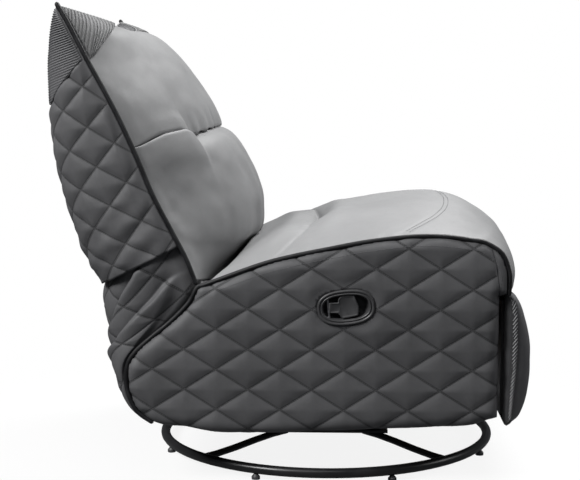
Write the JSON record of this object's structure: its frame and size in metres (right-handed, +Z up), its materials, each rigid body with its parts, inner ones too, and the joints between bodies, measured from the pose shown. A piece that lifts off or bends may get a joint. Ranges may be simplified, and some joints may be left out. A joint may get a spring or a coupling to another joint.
{
  "type": "gaming recliner",
  "caption": "Armless swivel rocker recliner with quilted sides, pillow back, fold-out footrest and a pull handle on the right side, on a round steel ring base.",
  "frame": {"origin": "middle of the bounding box on the floor", "axes": "+Z up; the sitter faces -Y; +X is on the sitter's left; the pull handle is on the -X side"},
  "size_m": [0.824, 1.0054, 0.9792],
  "materials": {
    "steel": "semi-gloss black paint",
    "zinc": "bright zinc plate",
    "light_leather": "satin light grey synthetic leather",
    "dark_leather": "satin charcoal quilted synthetic leather",
    "piping": "black welt",
    "board": "raw plywood",
    "moulding": "black moulded plastic"
  },
  "bodies": {
    "base": {"base_ring": "steel", "base_leg_1": "steel", "base_leg_2": "steel", "base_leg_3": "steel", "base_leg_4": "steel", "base_plate": "steel", "floor_glide_1": "moulding", "floor_glide_2": "moulding", "floor_glide_3": "moulding", "floor_glide_4": "moulding", "floor_glide_5": "moulding", "floor_glide_6": "moulding", "floor_glide_7": "moulding", "floor_glide_8": "moulding", "swivel_bearing": "zinc", "king_pin": "zinc"},
    "turntable": {"turntable_plate": "steel", "rocker_yoke_left": "steel", "rocker_yoke_right": "steel", "rocker_pin": "zinc"},
    "seat": {"rocker_hub_left": "steel", "rocker_hub_right": "steel", "rocker_spring_front": "zinc", "rocker_spring_rear": "zinc", "side_board_left": "board", "side_board_right": "board", "mechanism_plate_left": "zinc", "mechanism_plate_right": "zinc", "seat_frame": "board", "cross_rail_front": "steel", "cross_rail_rear": "steel", "seat_deck": "board", "seat_cushion": "light_leather", "side_panel_left": "dark_leather", "side_panel_right": "dark_leather", "seat_piping_left": "piping", "seat_piping_right": "piping", "lower_back_cover": "dark_leather", "handle_cup": "moulding", "lever_pin": "zinc"},
    "back": {"back_frame": "board", "back_bracket_left": "zinc", "back_bracket_right": "zinc", "lumbar_cushion": "light_leather", "head_cushion": "light_leather", "back_shell": "dark_leather", "back_piping_left": "piping", "back_piping_right": "piping"},
    "rear_links": {"rear_link_left": "zinc", "rear_link_right": "zinc"},
    "front_links": {"front_link_left": "zinc", "front_link_right": "zinc"},
    "carriers": {"footrest_carrier_left": "zinc", "footrest_carrier_right": "zinc", "torque_tube": "zinc"},
    "footrest": {"footrest_board": "board", "footrest_pad": "dark_leather", "footrest_bracket_left": "zinc", "footrest_bracket_right": "zinc"},
    "handle": {"release_lever": "moulding"}
  },
  "joints": [
    {"name": "swivel", "type": "hinge", "parent": "base", "child": "turntable", "pos_m": [0, -0.08317, 0.0604], "axis": [0, 0, 1], "continuous": true},
    {"name": "rock", "type": "hinge", "parent": "turntable", "child": "seat", "pos_m": [0, -0.08317, 0.0994], "axis": [1, 0, 0], "range_deg": [-7, 7], "stiffness_Nm_per_rad": 1500, "deforming": ["rocker_spring_front", "rocker_spring_rear"]},
    {"name": "recline", "type": "hinge", "parent": "seat", "child": "back", "pos_m": [0, 0.21656, 0.35966], "axis": [-1, 0, 0], "range_deg": [0, 38], "deforming": ["lower_back_cover"]},
    {"name": "footrest_swing", "type": "hinge", "parent": "seat", "child": "rear_links", "pos_m": [0, -0.33346, 0.29988], "axis": [-1, 0, 0], "range_deg": [0, 92]},
    {"name": "front_link_swing", "type": "hinge", "parent": "seat", "child": "front_links", "pos_m": [0, -0.38702, 0.34496], "axis": [-1, 0, 0], "range_deg": [0, 92]},
    {"name": "carrier_turn", "type": "hinge", "parent": "rear_links", "child": "carriers", "pos_m": [0, -0.23149, 0.17738], "axis": [-1, 0, 0], "range_deg": [-92, 0]},
    {"name": "footrest_turn", "type": "hinge", "parent": "carriers", "child": "footrest", "pos_m": [0, -0.42822, 0.34006], "axis": [-1, 0, 0], "range_deg": [0, 92]},
    {"name": "handle_pull", "type": "hinge", "parent": "seat", "child": "handle", "pos_m": [-0.4002, -0.09166, 0.37452], "axis": [0, -0.1045, -0.9945], "range_deg": [0, 35], "stiffness_Nm_per_rad": 0.6, "springref_deg": -8.59}
  ],
  "couplings": [
    {"joint": "front_link_swing", "follows": "footrest_swing", "ratio": 1},
    {"joint": "carrier_turn", "follows": "footrest_swing", "ratio": -1},
    {"joint": "footrest_turn", "follows": "footrest_swing", "ratio": 0.978}
  ]
}
